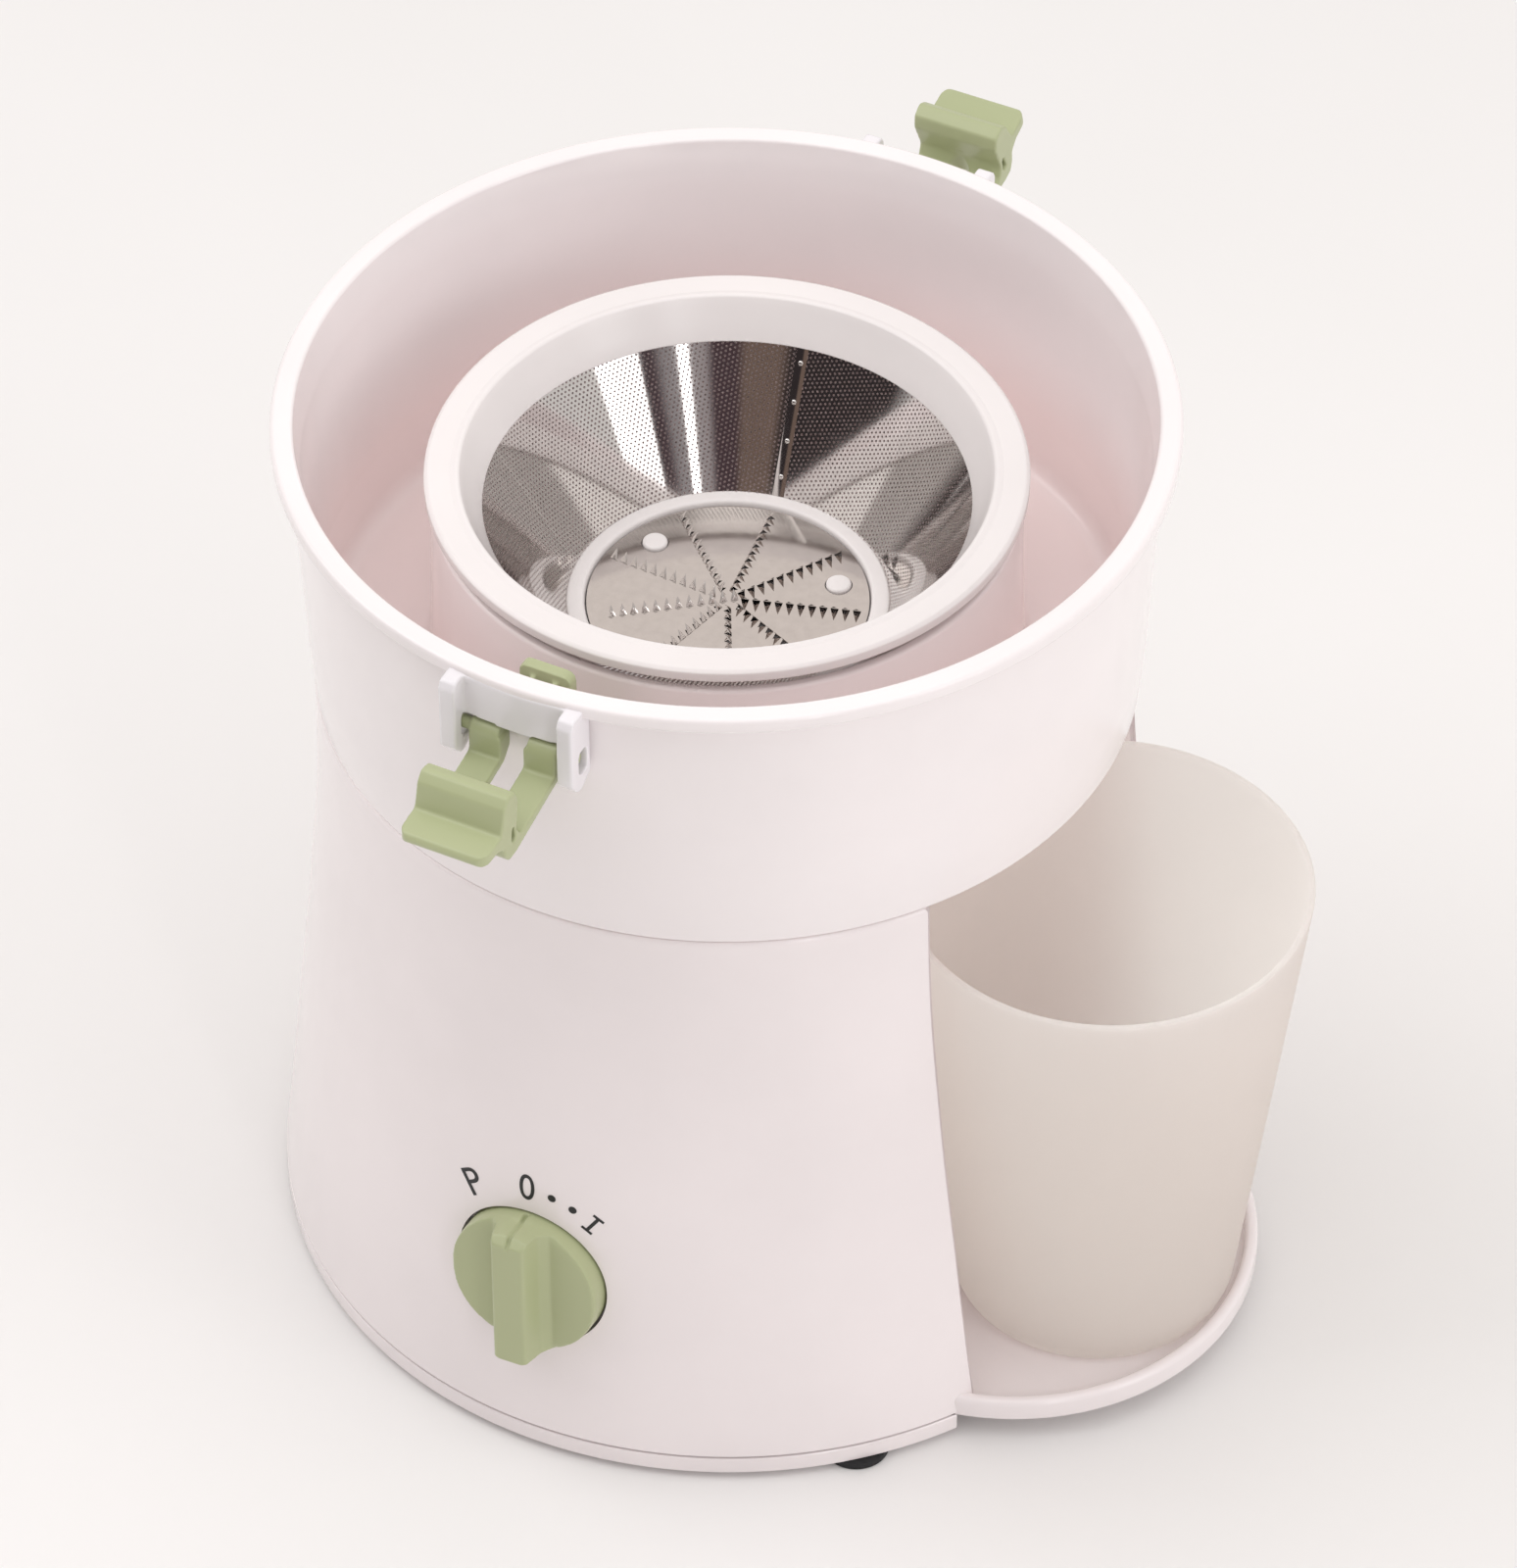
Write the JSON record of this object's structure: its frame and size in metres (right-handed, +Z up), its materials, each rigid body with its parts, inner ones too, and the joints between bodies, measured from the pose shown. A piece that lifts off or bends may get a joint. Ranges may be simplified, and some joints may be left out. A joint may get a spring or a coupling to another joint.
{
  "type": "centrifugal juicer",
  "caption": "Round motor base with a front dial and a side cup bay, a lift-off pulp bowl with clip latches and a conical sieve basket, and a tapered juice cup.",
  "frame": {"origin": "middle of the whole outline, on the floor under the feet", "axes": "+Z up along the basket's spin axis, which stands 18.45 mm towards -X from the origin; +X towards the juice cup; -Y towards the dial and the front latch; +Y towards the mains inlet"},
  "size_m": [0.2502, 0.2686, 0.233],
  "materials": {
    "shell": "glossy moulded plastic, very light pinkish white",
    "bowl": "glossy moulded plastic, very light pinkish white",
    "green": "satin moulded plastic, pale olive green",
    "cup": "frosted translucent plastic, warm grey white",
    "basket": "glossy moulded plastic, white",
    "steel": "bright perforated and turned stainless steel",
    "rubber": "matt black rubber",
    "zinc": "plain zinc-plated and die-cast metal",
    "iron": "stacked electrical steel",
    "copper": "enamelled copper wire and copper bars",
    "black": "matt black moulded plastic",
    "amber": "brown phenolic",
    "carbon": "pressed carbon",
    "brass": "turned brass"
  },
  "bodies": {
    "base": {"motor_housing": "shell", "bottom_cover": "shell", "foot_1": "rubber", "foot_2": "rubber", "foot_3": "rubber", "foot_4": "rubber", "cover_screw_1": "zinc", "cover_screw_2": "zinc", "cover_screw_3": "zinc", "cover_screw_4": "zinc", "cord_gland": "shell", "rotary_switch": "black", "interlock_switch": "black", "stator_core": "iron", "field_coil_a": "copper", "field_coil_b": "copper", "bearing_bracket_top": "zinc", "bearing_bracket_bottom": "zinc", "bearing_top": "steel", "bearing_bottom": "steel", "brush_holder_a": "amber", "brush_holder_b": "amber", "brush_a": "carbon", "brush_b": "carbon", "damper_1": "rubber", "damper_2": "rubber", "damper_3": "rubber", "damper_4": "rubber", "motor_screw_1": "zinc", "motor_screw_2": "zinc", "motor_screw_3": "zinc", "motor_screw_4": "zinc", "shaft_seal": "rubber", "filter_capacitor": "amber"},
    "rotor": {"rotor_shaft": "steel", "armature_core": "iron", "armature_winding": "copper", "commutator": "copper", "cooling_fan": "black", "drive_coupling": "black"},
    "dial": {"knob": "green", "switch_shaft": "zinc"},
    "plunger": {"switch_plunger": "brass"},
    "bowl": {"bowl": "bowl"},
    "interlock": {"interlock_lever": "green"},
    "front_clip": {"latch_front": "green"},
    "back_clip": {"latch_back": "green"},
    "basket": {"basket_rim": "basket", "basket_mesh": "steel", "basket_base": "basket", "grater_disc": "steel"},
    "cup": {"cup": "cup"}
  },
  "joints": [
    {"name": "motor_spin", "type": "hinge", "parent": "base", "child": "rotor", "pos_m": [-0.01845, 0.00033, 0.1], "axis": [0, 0, 1], "continuous": true},
    {"name": "bowl_lift", "type": "slide", "parent": "base", "child": "bowl", "axis": [0, 0, 1], "range_m": [0, 0.07]},
    {"name": "basket_lift", "type": "slide", "parent": "rotor", "child": "basket", "axis": [0, 0, 1], "range_m": [0, 0.14]},
    {"name": "knob_turn", "type": "hinge", "parent": "base", "child": "dial", "pos_m": [-0.01845, -0.10152, 0.0523], "axis": [0, -0.9947, 0.1028], "range_deg": [-39, 34.6]},
    {"name": "interlock_press", "type": "slide", "parent": "bowl", "child": "interlock", "axis": [0, 0, -1], "range_m": [0, 0.004], "stiffness_N_per_m": 200, "springref_m": -0.003},
    {"name": "plunger_press", "type": "slide", "parent": "base", "child": "plunger", "axis": [0, 0, -1], "range_m": [0, 0.004], "stiffness_N_per_m": 100, "springref_m": -0.003},
    {"name": "latch_front_turn", "type": "hinge", "parent": "bowl", "child": "front_clip", "pos_m": [-0.01845, -0.09917, 0.2175], "axis": [-1, 0, 0], "range_deg": [0, 90]},
    {"name": "latch_back_turn", "type": "hinge", "parent": "bowl", "child": "back_clip", "pos_m": [-0.01845, 0.09983, 0.2175], "axis": [1, 0, 0], "range_deg": [-19, 71]},
    {"name": "cup_tilt", "type": "hinge", "parent": "base", "child": "cup", "pos_m": [0.11255, 0.00033, 0.0125], "axis": [0, 1, 0], "range_deg": [0, 35]}
  ],
  "couplings": [
    {"joint": "basket_lift", "follows": "bowl_lift", "ratio": 2},
    {"joint": "plunger_press", "follows": "interlock_press", "ratio": 1}
  ]
}
